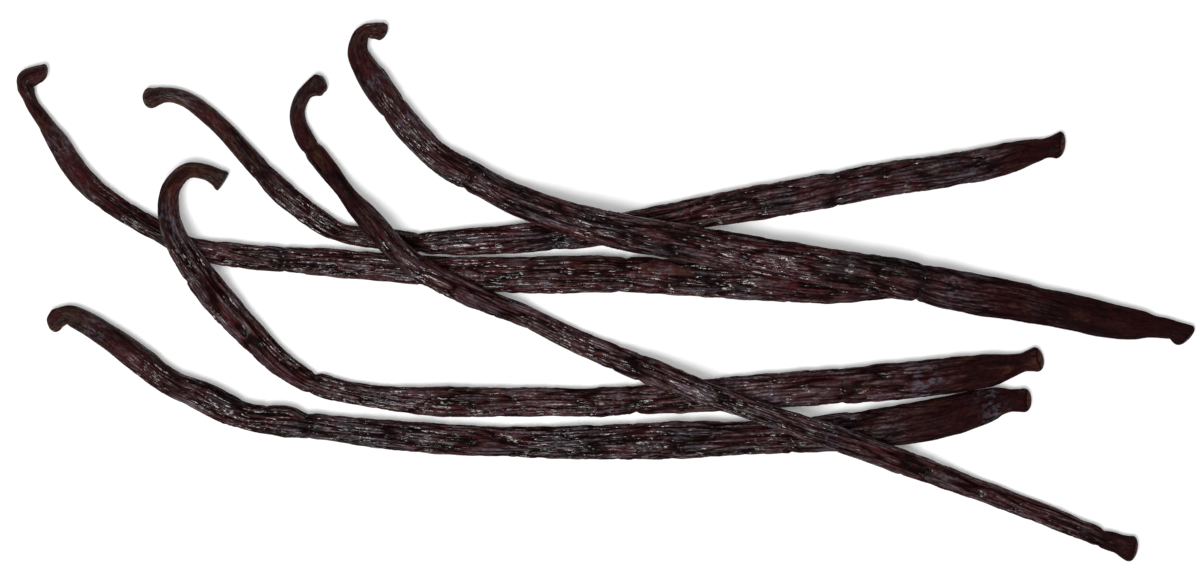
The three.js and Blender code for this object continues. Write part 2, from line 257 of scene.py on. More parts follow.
class Graph:
    """A node tree, and short ways to add nodes to it."""

    ROWS = 8
    COLUMN_WIDTH = 200
    ROW_HEIGHT = 190

    def __init__(self, tree):
        self.tree = tree

    def add(self, kind, feeds=None, **settings):
        """A new node. feeds maps its inputs to values or to the outputs that feed them."""
        node = self.tree.nodes.new(kind)
        column, row = divmod(len(self.tree.nodes) - 1, self.ROWS)
        node.location = (column * self.COLUMN_WIDTH, -row * self.ROW_HEIGHT)
        for setting, value in settings.items():
            setattr(node, setting, value)
        for name, value in (feeds or {}).items():
            self.feed(node.inputs[name], value)
        return node

    def feed(self, socket, value):
        if isinstance(value, bpy.types.NodeSocket):
            self.tree.links.new(value, socket)
        else:
            socket.default_value = value

    def math(self, operation, *values):
        feeds = dict(enumerate(values))
        return self.add("ShaderNodeMath", feeds, operation=operation).outputs[0]

    def total(self, *values):
        result = values[0]
        for value in values[1:]:
            result = self.math("ADD", result, value)
        return result

    def product(self, *values):
        result = values[0]
        for value in values[1:]:
            result = self.math("MULTIPLY", result, value)
        return result

    def vector(self, operation, *values):
        feeds = dict(enumerate(values))
        return self.add("ShaderNodeVectorMath", feeds, operation=operation).outputs[0]

    def scaled(self, vector, factor):
        node = self.add("ShaderNodeVectorMath", {0: vector, "Scale": factor}, operation="SCALE")
        return node.outputs[0]

    def combine(self, x, y, z):
        return self.add("ShaderNodeCombineXYZ", {0: x, 1: y, 2: z}).outputs[0]

    def noise(self, cells, detail=0.0, output=0):
        """Smooth noise with one cell for each unit of the pattern coordinates, around 0.5."""
        feeds = {"Vector": cells, "Scale": 1.0, "Detail": detail}
        return self.add("ShaderNodeTexNoise", feeds).outputs[output]

    def wander(self, cells, reach):
        """A vector that wanders up to about half its reach either way."""
        noise = self.vector("SUBTRACT", self.noise(cells, output=1), (0.5, 0.5, 0.5))
        return self.vector("MULTIPLY", noise, reach)

    def smooth(self, value, low, high, to_low=0.0, to_high=1.0):
        """The value carried smoothly from low..high to to_low..to_high."""
        feeds = {0: value, 1: low, 2: high, 3: to_low, 4: to_high}
        node = self.add("ShaderNodeMapRange", feeds, interpolation_type="SMOOTHSTEP")
        return node.outputs[0]

    def blend(self, factor, first, second):
        """A colour between two colours."""
        feeds = {"Factor": factor, 6: first, 7: second}
        return self.add("ShaderNodeMix", feeds, data_type="RGBA").outputs[2]

    def input(self, name, kind, default=None):
        """A named input of the tree, added to its interface."""
        socket = self.tree.interface.new_socket(name, in_out="INPUT", socket_type=kind)
        if default is not None:
            socket.default_value = default

    def output(self, name, kind):
        self.tree.interface.new_socket(name, in_out="OUTPUT", socket_type=kind)


# ---- The guide of a pod: its middle line, widths and heights, read from the frame ----


def frame_rings(node):
    """The rings of corners of a frame pod, from its stem end to its blossom end."""
    solid = bmesh.new()
    solid.from_mesh(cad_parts[node].data)
    bmesh.ops.remove_doubles(solid, verts=solid.verts, dist=MERGE_DISTANCE)
    poles = [vert for vert in solid.verts if len(vert.link_edges) == RING_CORNERS]
    if len(poles) != 2:
        raise RuntimeError(f"{node} has {len(poles)} end points, and not two")
    stem = min(poles, key=lambda vert: vert.co.x)
    passed = {stem}
    ring = {edge.other_vert(stem) for edge in stem.link_edges}
    rings = []
    while len(ring) == RING_CORNERS:
        rings.append(np.array([vert.co[:] for vert in ring]))
        passed |= ring
        ring = {edge.other_vert(vert) for vert in ring for edge in vert.link_edges} - passed
    solid.free()
    return rings[CLOSING_RINGS:-CLOSING_RINGS]


def smooth_line(positions, values, at):
    """Values at new positions on the smooth line through a row of values."""
    slopes = np.gradient(values, positions, axis=0)
    index = np.clip(np.searchsorted(positions, at) - 1, 0, len(positions) - 2)
    span = (positions[index + 1] - positions[index])[:, None]
    t = ((at - positions[index])[:, None]) / span
    start, end = values[index], values[index + 1]
    rise = 3 * t**2 - 2 * t**3
    bend = (t**3 - 2 * t**2 + t) * slopes[index] + (t**3 - t**2) * slopes[index + 1]
    return start + (end - start) * rise + bend * span


def plan_normals(points):
    """The level direction to the left of a line at each of its points."""
    along = np.gradient(points[:, :2], axis=0)
    along /= np.linalg.norm(along, axis=1)[:, None]
    return np.column_stack([-along[:, 1], along[:, 0], np.zeros(len(points))])


def measure_rings(rings):
    """Centre, half width and half height of each ring, and its distance from the first."""
    middles = np.array([ring.mean(axis=0) for ring in rings])
    across = plan_normals(middles)
    rows = []
    for ring, middle, side in zip(rings, middles, across):
        reach = (ring - middle) @ side
        centre = middle + side * (reach.max() + reach.min()) / 2
        low, high = ring[:, 2].min(), ring[:, 2].max()
        centre[2] = (low + high) / 2
        rows.append([*centre, (reach.max() - reach.min()) / 2, (high - low) / 2])
    rows = np.array(rows)
    steps = np.linalg.norm(np.diff(rows[:, :2], axis=0), axis=1)
    return np.concatenate([[0.0], np.cumsum(steps)]), rows


def end_profile(style):
    """Advance and size of the stations that close an end, as shares of the half width, and how
    much of each lies on the end's cut face."""
    turn = np.linspace(0, math.pi / 2, END_STATIONS + 1)[1:]
    if style == "round":
        return 0.98 * np.sin(turn), np.cos(turn), np.zeros(END_STATIONS)
    if style == "bulged":
        size = np.cos(turn)
        return 0.6 * np.sin(turn) ** 0.9, size, np.clip((0.93 - size) / 0.2, 0, 1)
    rim = turn[: END_STATIONS // 2] * 2
    face = np.linspace(1, 0, END_STATIONS - len(rim) + 1)[1:]
    size = np.concatenate([1 - 0.16 * (1 - np.cos(rim)), 0.84 * face])
    advance = np.concatenate([0.2 * np.sin(rim), 0.06 + 0.14 * face**2])
    return advance, size, np.clip((0.95 - size) / 0.15, 0, 1)


def closing(rows, across, style, outward):
    """Stations beyond one end of the body that close it."""
    advance, size, face = end_profile(style)
    end = rows[-1] if outward > 0 else rows[0]
    side = across[-1] if outward > 0 else across[0]
    ahead = np.array([side[1], -side[0], 0]) * outward
    stations = np.repeat(end[None], len(size), axis=0)
    stations[:, :3] += ahead * (advance * end[3])[:, None]
    stations[:, 3:] *= size[:, None]
    run = np.hypot(np.diff([0, *advance]), np.diff([1, *size])) * end[3]
    return stations, np.repeat(side[None], len(size), axis=0), size, face, np.cumsum(run)


def hump(at, place, reach):
    """A smooth hump of height 1 at its place, which fades out over its reach on both sides."""
    return np.exp(-(((at - place) / reach) ** 2))


def flare(distance, share):
    """How much an end swells at the end itself and narrows at the neck behind it."""
    inside = np.maximum(distance, 0) / MM
    collar = hump(inside, 0, COLLAR_REACH)
    return share * (collar - NECK_SHARE * hump(inside, NECK_PLACE, NECK_REACH))


def guide_mesh(node, look):
    """The pod's guide: a line of stations, each with the pod's measures there as attributes.

    across is the direction of the left flank. from_stem and from_tip are distances along the pod.
    body_share falls from 1 to 0 over the closed ends. cut_face is 1 on the end faces.
    """
    positions, rings = measure_rings(frame_rings(node))
    length = positions[-1]
    at = np.linspace(0, length, round(length / STATION_STEP) + 1)
    body = smooth_line(positions, rings, at)
    across = plan_normals(body)
    stem, stem_across, stem_size, stem_face, stem_run = closing(body, across, look["stem"], -1)
    tip, tip_across, tip_size, tip_face, tip_run = closing(body, across, look["tip"], 1)
    rows = np.concatenate([stem[::-1], body, tip])
    from_stem = np.concatenate([-stem_run[::-1], at, length + tip_run])
    swell = flare(from_stem, look["stem_flare"]) + flare(length - from_stem, look["tip_flare"])
    rows[:, 3:] *= (1 + swell)[:, None]
    whole = np.ones(len(at))
    sides = np.concatenate([stem_across[::-1], across, tip_across])
    for place, reach, left, right in look["bulges"]:
        stands = MM * hump(length - from_stem, place * MM, reach * MM)
        rows[:, :3] += sides * (stands * (left - right) / 2)[:, None]
        rows[:, 3] += stands * (left + right) / 2
    # pale patches, some of them painted glints
    frost_and_sheen = sum(
        hump(from_stem, place * MM + (place < 0) * length, reach * MM)
        for place, reach in look["frost_and_sheen"]
    )
    fold = sum(
        depth * MM * hump(from_stem, place * MM, FOLD_REACH) for place, depth in look["folds"]
    )
    # painted shade on each side of the cross folds, fuller for deeper folds
    painted_fold_shade = sum(
        min(depth / FULL_FOLD, 1) * hump(from_stem, place * MM, FOLD_SHADE)
        for place, depth in look["folds"]
    )
    columns = {
        "across": sides,
        "half_width": rows[:, 3],
        "half_height": rows[:, 4],
        "from_stem": from_stem,
        "from_tip": length - from_stem,
        "body_share": np.concatenate([stem_size[::-1], whole, tip_size]),
        "cut_face": np.concatenate([stem_face[::-1], whole * 0, tip_face]),
        "fold": fold,
        "painted_fold_shade": painted_fold_shade,
        "frost_and_sheen": frost_and_sheen,
    }
    mesh = bpy.data.meshes.new(node + "_guide")
    links = [(i, i + 1) for i in range(len(rows) - 1)]
    mesh.from_pydata(rows[:, :3].tolist(), links, [])
    for name, values in columns.items():
        kind, field = ("FLOAT_VECTOR", "vector") if values.ndim == 2 else ("FLOAT", "value")
        column = mesh.attributes.new(name, kind, "POINT")
        column.data.foreach_set(field, values.astype(np.float32).ravel())
    return mesh


# ---- The skin tree ----

FLOAT = "NodeSocketFloat"
VECTOR = "NodeSocketVector"


def attribute(graph, name, kind="FLOAT"):
    """A named measure of the guide or the skin, in a geometry tree."""
    return graph.add("GeometryNodeInputNamedAttribute", {"Name": name}, data_type=kind).outputs[0]


def store(graph, geometry, name, value, kind="FLOAT"):
    feeds = {"Geometry": geometry, "Name": name, "Value": value}
    node = graph.add("GeometryNodeStoreNamedAttribute", feeds, data_type=kind, domain="POINT")
    return node.outputs[0]


class SkinTree:
    """The geometry tree that draws a pod's skin through the stations of its guide."""

    MEASURES = (
        "Seed", "Girth", "Furrows", "Wrinkle spacing", "Wrinkle length", "Wrinkle depth",
        "Furrow depth", "Fine depth", "Hollow depth", "Fold depth", "Knob", "Stem slant",
        "Tip slant", "Tip tilt", "Smooth stem", "Smooth tip",
    )
    SPENT = ("centre", "turn", "across", "half_width", "half_height", "body_share", "fold")

    def __init__(self):
        self.tree = bpy.data.node_groups.new("draw_pod_skin", "GeometryNodeTree")
        self.tree.is_modifier = True
        graph = self.graph = Graph(self.tree)
        graph.input("Guide", "NodeSocketGeometry")
        graph.input("Points around", "NodeSocketInt")
        for name in self.MEASURES:
            graph.input(name, FLOAT)
        graph.input("Skin", "NodeSocketMaterial")
        graph.output("Pod", "NodeSocketGeometry")
        self.given = graph.add("NodeGroupInput").outputs
        self.seed = self.given["Seed"]

        self.turn = attribute(graph, "turn")
        self.level = graph.math("COSINE", self.turn)
        self.upright = graph.math("SINE", self.turn)
        self.from_stem = attribute(graph, "from_stem")
        self.from_tip = attribute(graph, "from_tip")
        self.body = attribute(graph, "body_share")
        self.lay_out_skin()
        self.make_wrinkles()
        self.make_calm()
        pod = graph.add(
            "GeometryNodeSetPosition",
            {"Geometry": self.tube(), "Position": self.spot(self.depth())},
        ).outputs[0]
        graph.add("NodeGroupOutput", {"Pod": self.finished(pod)})

    def tube(self):
        """A ring of points swept along the guide, which becomes a curve first."""
        graph = self.graph
        line = graph.add("GeometryNodeMeshToCurve", {"Mesh": self.given["Guide"]}).outputs[0]
        place = graph.add("GeometryNodeInputPosition").outputs[0]
        line = store(graph, line, "centre", place, "FLOAT_VECTOR")
        circle = graph.add(
            "GeometryNodeCurvePrimitiveCircle", {"Resolution": self.given["Points around"]},
            mode="RADIUS",
        ).outputs[0]
        share = graph.add("GeometryNodeSplineParameter").outputs["Factor"]
        circle = store(graph, circle, "turn", graph.product(share, 2 * math.pi))
        feeds = {"Curve": line, "Profile Curve": circle, "Fill Caps": False}
        return graph.add("GeometryNodeCurveToMesh", feeds).outputs[0]

    def cells(self, skin, spacing, length, shift=0.0):
        """Pattern coordinates with cells of that spacing round the pod and that length along it,
        both in mm."""
        graph = self.graph
        squeeze = graph.math("DIVIDE", 1.0, spacing)
        along = graph.math("DIVIDE", 1.0, length)
        seed = graph.math("ADD", self.seed, shift) if shift else self.seed
        cells = graph.vector("MULTIPLY", skin, graph.combine(squeeze, squeeze, along))
        return graph.vector("ADD", cells, graph.combine(seed, 0.0, seed))

    def from_crease(self, cells, detail=0.0):
        """How far a point is from the crease lines of a wrinkle pattern: 0 on them, 0.2 on
        crests."""
        graph = self.graph
        return graph.math("ABSOLUTE", graph.math("SUBTRACT", graph.noise(cells, detail), 0.5))

    def creases(self, away, width):
        """1 on the crease lines of a wrinkle pattern, falling smoothly to 0 on the ridges."""
        return self.graph.smooth(away, 0.0, width, 1.0, 0.0)

    def lay_out_skin(self):
        """Coordinates on the skin in mm, round the pod in x and y and along it in z, and the same
        after the wrinkles have wandered and leaned a little on their way along the pod."""
        graph = self.graph
        radius = graph.product(self.given["Girth"], 1 / (2 * math.pi * MM))
        along = graph.product(self.from_stem, 1 / MM)
        self.skin = graph.combine(
            graph.product(self.level, radius), graph.product(self.upright, radius), along
        )
        slow = graph.wander(self.cells(self.skin, 5.5, 17.0), (1.6, 1.6, 3.0))
        quick = graph.wander(self.cells(self.skin, 1.7, 3.6), (0.22, 0.22, 0.22))
        self.wandering = graph.vector("ADD", graph.vector("ADD", self.skin, slow), quick)

    def make_wrinkles(self):
        """The patterns that the depth is made of, each from 0 to 1."""
        graph, skin, wandering = self.graph, self.skin, self.wandering
        spacing = graph.product(self.given["Wrinkle spacing"], 1.75 / MM)
        reach = graph.product(self.given["Wrinkle length"], 1 / MM)
        self.main_away = self.from_crease(self.cells(wandering, spacing, reach), 0.5)
        self.main = self.creases(self.main_away, 0.1)

        # Straighter furrows run side by side for long stretches.
        bend = graph.noise(self.cells(skin, 3.6, 15.0), 1.0)
        wave = graph.product(self.turn, self.given["Furrows"], 0.5)
        wave = graph.total(wave, graph.product(bend, 8.0))
        self.furrow_away = graph.math("ABSOLUTE", graph.math("SINE", wave))
        kept = graph.noise(self.cells(wandering, 1.5, 9.0, shift=3.0))
        furrow = self.creases(self.furrow_away, 0.75)
        self.furrow = graph.product(furrow, graph.smooth(kept, 0.34, 0.56))

        fine = self.cells(wandering, graph.product(spacing, 0.5), graph.product(reach, 0.42))
        self.fine = self.creases(self.from_crease(fine), 0.1)
        self.broad = graph.smooth(graph.noise(self.cells(wandering, 3.4, 12.0)), 0.3, 0.72)
        self.lumps = graph.smooth(graph.noise(self.cells(skin, 2.6, 3.2)), 0.3, 0.7)

        # Small folds run across the pod in some stretches.
        self.where = graph.noise(self.cells(skin, 4.0, 8.0, shift=5.0))
        cross = self.creases(self.from_crease(self.cells(wandering, 3.6, 1.9)), 0.05)
        self.cross = graph.product(cross, graph.smooth(self.where, 0.5, 0.62))

    def make_calm(self):
        """How wrinkled the pod is: less at both ends, and nothing at their poles."""
        graph = self.graph
        stem = self.given["Smooth stem"]
        self.calm = graph.product(
            graph.smooth(self.from_tip, 0.0, self.given["Smooth tip"], 0.32, 1.0),
            graph.smooth(self.from_stem, graph.product(stem, 0.3), stem, 0.15, 1.0),
        )
        fade = graph.math("MULTIPLY", self.body, self.body)
        self.strength = graph.product(self.calm, fade)
        self.gentle = graph.product(graph.smooth(self.calm, 0.15, 1.0, 0.4, 1.0), fade)

    def depth(self):
        """How far the skin lies in from the pod's section, or out where it is negative."""
        graph, given, strength, gentle = self.graph, self.given, self.strength, self.gentle
        shares = graph.smooth(self.where, 0.35, 0.65, 0.65, 1.15)
        around_fold = graph.noise(self.cells(self.skin, 3.0, 30.0))
        around_fold = graph.smooth(around_fold, 0.3, 0.6)
        depth = graph.total(
            graph.product(self.main, given["Wrinkle depth"], strength, shares),
            graph.product(self.furrow, given["Furrow depth"], strength),
            graph.product(self.fine, given["Fine depth"], strength),
            graph.product(self.broad, given["Hollow depth"], gentle, 0.5),
            graph.product(self.lumps, given["Hollow depth"], gentle, 0.5),
            graph.product(self.cross, given["Fold depth"], strength),
            graph.product(attribute(graph, "fold"), around_fold, 1.6),
        )
        depth = graph.math("SUBTRACT", depth, self.knob())
        swell = graph.product(given["Hollow depth"], gentle, 0.65)
        return graph.math("SUBTRACT", depth, swell)

    def knob(self):
        """The lumps of the stem end, and the slighter ones of the blossom end."""
        graph = self.graph
        lumps = graph.math("SUBTRACT", graph.noise(self.cells(self.skin, 1.5, 1.7)), 0.42)
        at_stem = graph.smooth(self.from_stem, 1.5 * MM, 5.0 * MM, 1.0, 0.0)
        at_tip = graph.smooth(self.from_tip, 0.5 * MM, 3.0 * MM, 0.35, 0.0)
        at_ends = graph.math("ADD", at_stem, at_tip)
        full = graph.smooth(self.body, 0.0, 0.6)
        return graph.product(lumps, self.given["Knob"], at_ends, full, 2.0)

    def forward(self, width, height):
        """How far a point lies ahead of its station: the ends slant and tilt, and the rings
        between them lean unevenly."""
        graph = self.graph
        at_stem = graph.smooth(self.from_stem, 0.0, 3.0 * MM, 1.0, 0.0)
        at_tip = graph.smooth(self.from_tip, 0.0, 3.0 * MM, 1.0, 0.0)
        slant = graph.total(
            graph.product(at_stem, self.given["Stem slant"]),
            graph.product(at_tip, self.given["Tip slant"]),
        )
        tilt = graph.smooth(self.from_tip, 0.0, 2.0 * MM, -1.0, 0.0)
        tilt = graph.product(tilt, self.given["Tip tilt"])
        inner = graph.math("MINIMUM", self.from_stem, self.from_tip)
        lean = graph.math("SUBTRACT", graph.noise(self.cells(self.skin, 2.2, 5.0)), 0.5)
        lean = graph.product(lean, graph.smooth(inner, 1 * MM, 6 * MM), 3 * MM)
        return graph.total(
            graph.product(slant, self.level, width), graph.product(tilt, self.upright, height), lean
        )

    def spot(self, depth):
        """The place of each point: on the pod's section, less its depth, and above the ground."""
        graph, level, upright = self.graph, self.level, self.upright
        across = attribute(graph, "across", "FLOAT_VECTOR")
        parts = graph.add("ShaderNodeSeparateXYZ", {0: across}).outputs
        ahead = graph.combine(parts[1], graph.product(parts[0], -1.0), 0.0)
        width = attribute(graph, "half_width")
        height = attribute(graph, "half_height")
        sideways = graph.scaled(across, graph.product(level, height))
        out = graph.combine(0.0, 0.0, graph.product(upright, width))
        out = graph.vector("NORMALIZE", graph.vector("ADD", sideways, out))
        spot = attribute(graph, "centre", "FLOAT_VECTOR")
        for part in (
            graph.scaled(across, graph.product(level, width)),
            graph.combine(0.0, 0.0, graph.product(upright, height)),
            graph.scaled(ahead, self.forward(width, height)),
            graph.scaled(out, graph.product(depth, -1.0)),
        ):
            spot = graph.vector("ADD", spot, part)
        return graph.vector("MAXIMUM", spot, (-FAR, -FAR, 0.0))

    def finished(self, pod):
        """The pod with all that its material reads, closed and shaded smooth."""
        graph, calm = self.graph, self.calm
        pod = store(graph, pod, "skin", self.wandering, "FLOAT_VECTOR")
        # ridge is 0 down in the creases, where the material paints shade
        deepest = graph.product(graph.math("MAXIMUM", self.main, self.furrow), calm)
        deepest = graph.math("MAXIMUM", deepest, graph.product(self.fine, 0.6))
        pod = store(graph, pod, "ridge", graph.math("SUBTRACT", 1.0, deepest))
        # crest marks the ridge tops, where the material paints glints and sheen
        crest = graph.product(
            graph.smooth(self.main_away, 0.05, 0.13),
            graph.smooth(self.furrow_away, 0.6, 0.95, 0.3, 1.0),
            graph.smooth(calm, 0.2, 1.0, 0.3, 1.0),
        )
        pod = store(graph, pod, "crest", crest)
        pod = store(graph, pod, "wrinkled", calm)
        pod = graph.add(
            "GeometryNodeMergeByDistance", {"Geometry": pod, "Distance": MERGE_DISTANCE}
        ).outputs[0]
        for name in self.SPENT:
            feeds = {"Geometry": pod, "Name": name}
            pod = graph.add("GeometryNodeRemoveAttribute", feeds).outputs[0]
        pod = graph.add("GeometryNodeSetShadeSmooth", {"Geometry": pod}).outputs[0]
        pod = graph.add("GeometryNodeRealizeInstances", {"Geometry": pod}).outputs[0]
        feeds = {"Geometry": pod, "Material": self.given["Skin"]}
        return graph.add("GeometryNodeSetMaterial", feeds).outputs[0]


# ---- Materials ----

COAT_ROUGHNESS = 0.18       # of the oily film on the ridges
GRAIN_DEPTH = 0.15 * MM
GRAIN_STRENGTH = 0.8

MASK_INPUTS = {
    "Skin": (VECTOR, None),
    "Spacing": (FLOAT, 1.0),
    "Length": (FLOAT, 1.0),
    "Seed": (FLOAT, 0.0),
    "Level": (FLOAT, 0.5),
    "Softness": (FLOAT, 0.1),
}
GRAIN_INPUTS = {"Skin": (VECTOR, None), "Wrinkled": (FLOAT, 1.0)}
SHADER_GROUPS = {}          # those built so far


def shader_group(name, inputs, outputs, fill):
    """A shared shader group, built once: fill gets its graph and inputs and returns its outputs."""
    if name not in SHADER_GROUPS:
        tree = bpy.data.node_groups.new(name, "ShaderNodeTree")
        graph = Graph(tree)
        for socket, (kind, default) in inputs.items():
            graph.input(socket, kind, default)
        for socket, kind in outputs.items():
            graph.output(socket, kind)
        given = graph.add("NodeGroupInput").outputs
        graph.add("NodeGroupOutput", fill(graph, given))
        SHADER_GROUPS[name] = tree
    return SHADER_GROUPS[name]


def cells_of(graph, given):
    """Pattern coordinates of a shader group with the inputs Skin, Spacing, Length and Seed."""
    squeeze = graph.math("DIVIDE", 1.0, given["Spacing"])
    along = graph.math("DIVIDE", 1.0, given["Length"])
    cells = graph.vector("MULTIPLY", given["Skin"], graph.combine(squeeze, squeeze, along))
    return graph.vector("ADD", cells, graph.combine(given["Seed"], given["Seed"], 0.0))


def fill_mask(graph, given, detail):
    """A mask that is 1 where the noise is above the level, with edges of that softness."""
    top = graph.math("ADD", given["Level"], given["Softness"])
    return {"Mask": graph.smooth(graph.noise(cells_of(graph, given), detail), given["Level"], top)}


def fill_streaks(graph, given):
    """Broken streaks along the pod, with fairly clean edges."""
    return fill_mask(graph, given, 1.5)


def fill_patches(graph, given):
    """Uneven patches with ragged edges."""
    return fill_mask(graph, given, 3.0)


def fill_grain(graph, given):
    """The height of the finest skin: lengthwise hairlines and pores."""
    hair = graph.noise(graph.vector("MULTIPLY", given["Skin"], (4.2, 4.2, 0.4)), 2.0)
    pores = graph.noise(graph.vector("MULTIPLY", given["Skin"], (5.5, 5.5, 4.5)), 1.0)
    pores = graph.smooth(pores, 0.32, 0.56)
    hair = graph.product(hair, given["Wrinkled"])
    return {"Height": graph.total(graph.product(hair, 0.9), graph.product(pores, 0.18))}


class PodSkin:
    """The material of one pod: dark, oily skin with wine, brown and grey laid over it in turn, with
    painted shade in its creases and folds and painted glints and sheen on its ridges.
    """

    def __init__(self, node, look, colours):
        self.material = bpy.data.materials.new(node.replace("pod_", "") + "_pod_skin")
        self.material.use_nodes = True
        self.material.node_tree.nodes.clear()
        self.graph = Graph(self.material.node_tree)
        self.look = look
        self.colours = colours
        self.skin = self.read("skin", "Vector")
        self.crest = self.read("crest")
        self.wrinkled = self.read("wrinkled")
        self.from_stem = self.read("from_stem")
        tip, stem = look["smooth_tip"] * MM, look["smooth_stem"] * MM
        self.dry = self.graph.smooth(self.read("from_tip"), 0.4 * tip, 1.3 * tip, 0.06, 1.0)
        self.near_stem = self.graph.smooth(self.from_stem, 0.5 * stem, 1.5 * stem, 0.9, 0.1)
        self.colour = colours.dark
        self.undertones()
        self.film_and_painted_sheen()
        self.flecks()
        self.shade_and_dark_patches()
        self.end_faces()
        self.surface()

    def read(self, name, output="Fac"):
        """A measure that the skin carries."""
        node = self.graph.add("ShaderNodeAttribute", attribute_name=name, attribute_type="GEOMETRY")
        return node.outputs[output]

    def placed(self, tree, *values):
        """The output of a shader group that is placed here with its own values."""
        return self.graph.add("ShaderNodeGroup", dict(enumerate(values)), node_tree=tree).outputs[0]

    def streaks(self, spacing, length, level, softness, offset):
        """A mask of lengthwise streaks, with their spacing and length in mm."""
        tree = shader_group("lengthwise_streaks", MASK_INPUTS, {"Mask": FLOAT}, fill_streaks)
        seed = self.look["seed"] + offset
        return self.placed(tree, self.skin, spacing, length, seed, level, softness)

    def patches(self, spacing, length, level, softness, offset):
        """A mask of ragged patches, with their spacing and length in mm."""
        tree = shader_group("ragged_patches", MASK_INPUTS, {"Mask": FLOAT}, fill_patches)
        seed = self.look["seed"] + offset
        return self.placed(tree, self.skin, spacing, length, seed, level, softness)

    def lay(self, share, colour):
        """Lay a colour over the skin by that share."""
        self.colour = self.graph.blend(share, self.colour, colour)

    def undertones(self):
        """Wine-tinted skin, the paler skin of the stem end, and dry brown patches."""
        graph, redness = self.graph, self.look["redness"]
        wine = self.patches(5.0, 14.0, 0.42 - 0.14 * redness, 0.16, 1.7)
        wine = graph.product(wine, graph.math("ADD", graph.product(self.dry, 0.87), 0.13))
        self.lay(wine, self.colours.wine)
        bare = self.patches(2.4, 8.0, 0.38, 0.2, 71.3)
        bare = graph.product(bare, self.near_stem, self.look["stem_tone"])
        self.lay(bare, self.colours.stem)
        brown = graph.product(
            self.patches(2.6, 7.0, 0.58 - 0.12 * redness, 0.12, 5.1),
            graph.smooth(self.from_stem, 6 * MM, 30 * MM, 1.5, 0.6),
            0.4 + redness,
        )
        self.lay(graph.math("MINIMUM", brown, 1.0), self.colours.brown)

    def film_and_painted_sheen(self):
        """The grey film on the crests, partly real bloom and partly painted glints on the ridge
        tops; a cooler haze on the raised skin, partly painted sheen; and the pale patches that the
        guide has, some of them painted glints.
        """
        graph, tone, stem = self.graph, self.look["tone"], self.look["smooth_stem"] * MM
        least = 0.55 * self.look["stem_tone"]
        coated = graph.smooth(self.from_stem, 0.3 * stem, 1.3 * stem, least, 1.0)
        # grey film in thin broken streaks on the crests: partly bloom, partly painted glints
        film_and_glint = self.streaks(0.42, 2.6, 0.54 - 0.1 * tone, 0.12, 9.3)
        where = self.patches(4.5, 9.0, 0.44 - 0.12 * tone, 0.2, 12.9)
        film_and_glint = graph.product(film_and_glint, where, self.crest, self.dry, coated, 0.95)
        self.lay(film_and_glint, self.colours.bloom_and_glint)
        # cooler haze on the raised skin: partly bloom, partly painted sheen
        haze_and_sheen = self.patches(1.6, 4.5, 0.48 - 0.12 * tone, 0.14, 53.1)
        raised = graph.smooth(self.crest, 0.0, 0.8)
        self.lay(graph.product(haze_and_sheen, raised, self.dry, coated, 0.45), self.colours.frost_and_sheen)
        broken = self.patches(0.6, 1.3, 0.45, 0.16, 77.7)
        self.lay(graph.product(self.read("frost_and_sheen"), broken, 0.7), self.colours.frost_and_sheen)

    def flecks(self):
        """Small deep red and olive patches, and the olive tint of the stem end."""
        graph = self.graph
        maroon = self.patches(1.7, 2.6, 0.54, 0.1, 61.9)
        self.lay(graph.product(maroon, 0.6), self.colours.maroon)
        specks = self.patches(0.8, 1.5, 0.54, 0.1, 83.7)
        self.lay(graph.product(specks, self.dry, 0.45), self.colours.olive)
        at_stem = graph.smooth(self.from_stem, 2 * MM, 9 * MM, 1.0, 0.0)
        olive = self.patches(1.6, 2.4, 0.46, 0.16, 21.7)
        self.lay(graph.product(olive, at_stem, 0.55), self.colours.olive)

    def shade_and_dark_patches(self):
        """Painted shade down in the creases, then darker stretches of skin, painted shade round the
        cross folds (the knuckles) and in small pits, and the darker stem stretch.
        """
        graph = self.graph
        # painted shade down in the creases, where the ridge measure is low
        self.lay(graph.smooth(self.read("ridge"), 0.0, 0.85, 0.95, 0.0), self.colours.shade_and_dark_skin)
        dark_and_fold_shade = graph.product(self.patches(6.0, 11.0, 0.5, 0.12, 107.3), 0.3)
        # painted shade round the cross folds (the knuckles)
        fold_shade_mask = self.patches(2.2, 3.0, 0.36, 0.18, 103.1)
        fold_shade_mask = graph.product(self.read("painted_fold_shade"), fold_shade_mask, 0.85)
        dark_stem = graph.product(self.near_stem, 0.6 * (1 - self.look["stem_tone"]))
        # darker stretches and stem are the skin's own tone; the fold part is painted shade
        dark_and_fold_shade = graph.math("MAXIMUM", graph.math("MAXIMUM", dark_and_fold_shade, fold_shade_mask), dark_stem)
        self.lay(dark_and_fold_shade, self.colours.shade_and_dark_skin)
        # painted shade of small pits: dark specks in the crease colour, with no pit in the shape
        pit_shade = self.patches(0.4, 0.7, 0.44, 0.16, 97.3)
        self.lay(graph.product(pit_shade, 0.5), self.colours.shade_and_dark_skin)

    def end_faces(self):
        """The dark rims and the reddish scars of the ends' cut faces."""
        graph = self.graph
        cut_face = self.read("cut_face")
        self.lay(graph.smooth(cut_face, 0.0, 0.3, 0.0, 0.85), self.colours.shade_and_dark_skin)
        scar = graph.smooth(cut_face, 0.5, 0.95, 0.0, 0.85)
        scar = graph.product(scar, self.patches(0.7, 0.9, 0.3, 0.3, 67.3))
        self.lay(scar, self.colours.scar)

